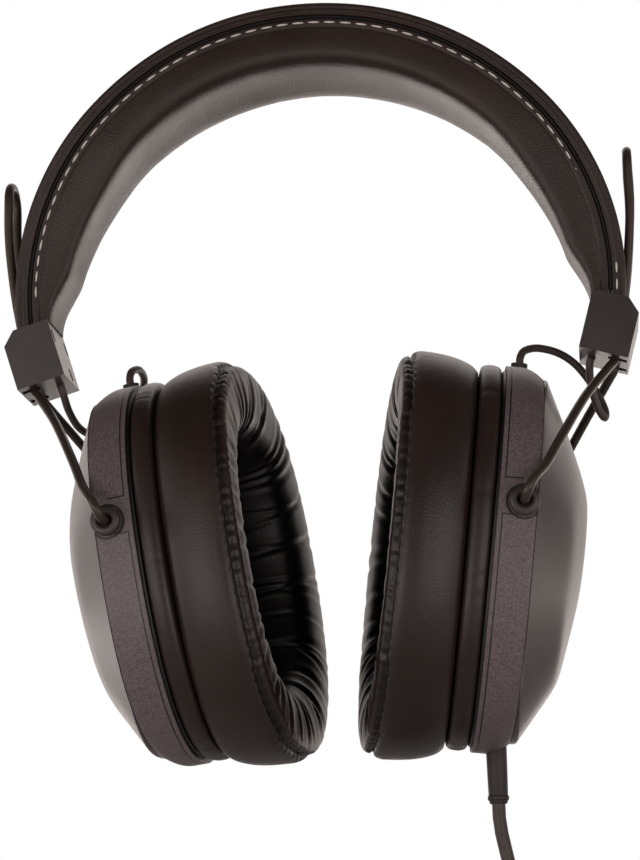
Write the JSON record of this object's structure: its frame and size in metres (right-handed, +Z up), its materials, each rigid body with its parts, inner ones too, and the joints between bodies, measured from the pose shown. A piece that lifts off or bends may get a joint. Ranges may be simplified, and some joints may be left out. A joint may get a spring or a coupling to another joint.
{
  "type": "over ear headphones",
  "caption": "Over ear studio headphones: padded leather band, wire yokes sliding in plastic blocks, oval closed cups with angled leather pads, wired lead.",
  "frame": {"origin": "lowest point of the headband's underside at its crown, where it rests on a head or a stand", "axes": "+Z up, wearer faces -Y, +X towards the wearer's left, the side with the cord"},
  "size_m": [0.162, 0.0946, 0.3394],
  "materials": {
    "band_leather": "satin dark brown-black coated leather with fine grain and white saddle stitches",
    "pad_leather": "soft satin dark coated leather with fine grain, seams and gathers",
    "dark_seam": "matt black welt in the seam",
    "block_plastic": "fine matt moulded dark grey-brown plastic",
    "yoke_wire_finish": "satin gunmetal-brown coated steel wire",
    "cover_plastic": "smooth satin grey-black moulded cover that mirrors the light softly",
    "rim_speckle": "fine textured dark paint with small metallic flecks",
    "trim_plastic": "smooth matt black moulded plastic",
    "soft_rubber": "matt black rubber",
    "cable_jacket": "satin dark grey flexible cable jacket",
    "spring_steel": "brushed spring steel",
    "plated_screw": "bright plated screws",
    "copper_wire": "enamelled copper winding",
    "diaphragm_film": "thin translucent polymer film",
    "damping_fabric": "thin open black cloth",
    "gold_plate": "gold plated contacts"
  },
  "bodies": {
    "headband": {"headband_cushion": "band_leather", "headband_cover": "band_leather", "headband_welt": "dark_seam", "spring_strip": "spring_steel", "headband_wire": "cable_jacket", "block_outer_left": "block_plastic", "block_outer_right": "block_plastic", "block_inner_left": "block_plastic", "block_inner_right": "block_plastic", "block_screws_left": "plated_screw", "block_screws_right": "plated_screw", "block_grip_left": "soft_rubber", "block_grip_right": "soft_rubber", "link_cable_left": "cable_jacket", "link_cable_right": "cable_jacket"},
    "yoke_left": {"yoke_wire_left": "yoke_wire_finish"},
    "cup_left": {"cup_cover_left": "cover_plastic", "cup_rim_left": "rim_speckle", "trim_ring_left": "trim_plastic", "pivot_bushes_left": "trim_plastic", "baffle_left": "trim_plastic", "driver_frame_left": "trim_plastic", "driver_magnet_left": "spring_steel", "voice_coil_left": "copper_wire", "diaphragm_left": "diaphragm_film", "driver_grille_left": "trim_plastic", "damping_cloth_left": "damping_fabric", "cup_screws_left": "plated_screw", "pad_roll_left": "pad_leather", "ear_pad_left": "pad_leather", "link_grommet_left": "soft_rubber", "cord_boot": "soft_rubber", "cord_lead": "cable_jacket", "cord_coil": "cable_jacket", "cord_tie": "soft_rubber", "cord_tail": "cable_jacket", "plug_boot": "soft_rubber", "plug_barrel": "trim_plastic", "plug_contact": "gold_plate"},
    "yoke_right": {"yoke_wire_right": "yoke_wire_finish"},
    "cup_right": {"cup_cover_right": "cover_plastic", "cup_rim_right": "rim_speckle", "trim_ring_right": "trim_plastic", "pivot_bushes_right": "trim_plastic", "baffle_right": "trim_plastic", "driver_frame_right": "trim_plastic", "driver_magnet_right": "spring_steel", "voice_coil_right": "copper_wire", "diaphragm_right": "diaphragm_film", "driver_grille_right": "trim_plastic", "damping_cloth_right": "damping_fabric", "cup_screws_right": "plated_screw", "pad_roll_right": "pad_leather", "ear_pad_right": "pad_leather", "link_grommet_right": "soft_rubber"}
  },
  "joints": [
    {"name": "slider_left", "type": "slide", "parent": "headband", "child": "yoke_left", "axis": [-0.1045, 0, -0.9945], "range_m": [0, 0.024], "deforming": ["link_cable_left"]},
    {"name": "cup_tilt_left", "type": "hinge", "parent": "yoke_left", "child": "cup_left", "pos_m": [0.0469, 0, -0.1195], "axis": [0.0872, -0.9962, 0], "range_deg": [0, 18], "deforming": ["link_cable_left"]},
    {"name": "slider_right", "type": "slide", "parent": "headband", "child": "yoke_right", "axis": [0.1045, 0, -0.9945], "range_m": [0, 0.024], "deforming": ["link_cable_right"]},
    {"name": "cup_tilt_right", "type": "hinge", "parent": "yoke_right", "child": "cup_right", "pos_m": [-0.0469, 0, -0.1195], "axis": [0.0872, 0.9962, 0], "range_deg": [0, 18], "deforming": ["link_cable_right"]}
  ]
}
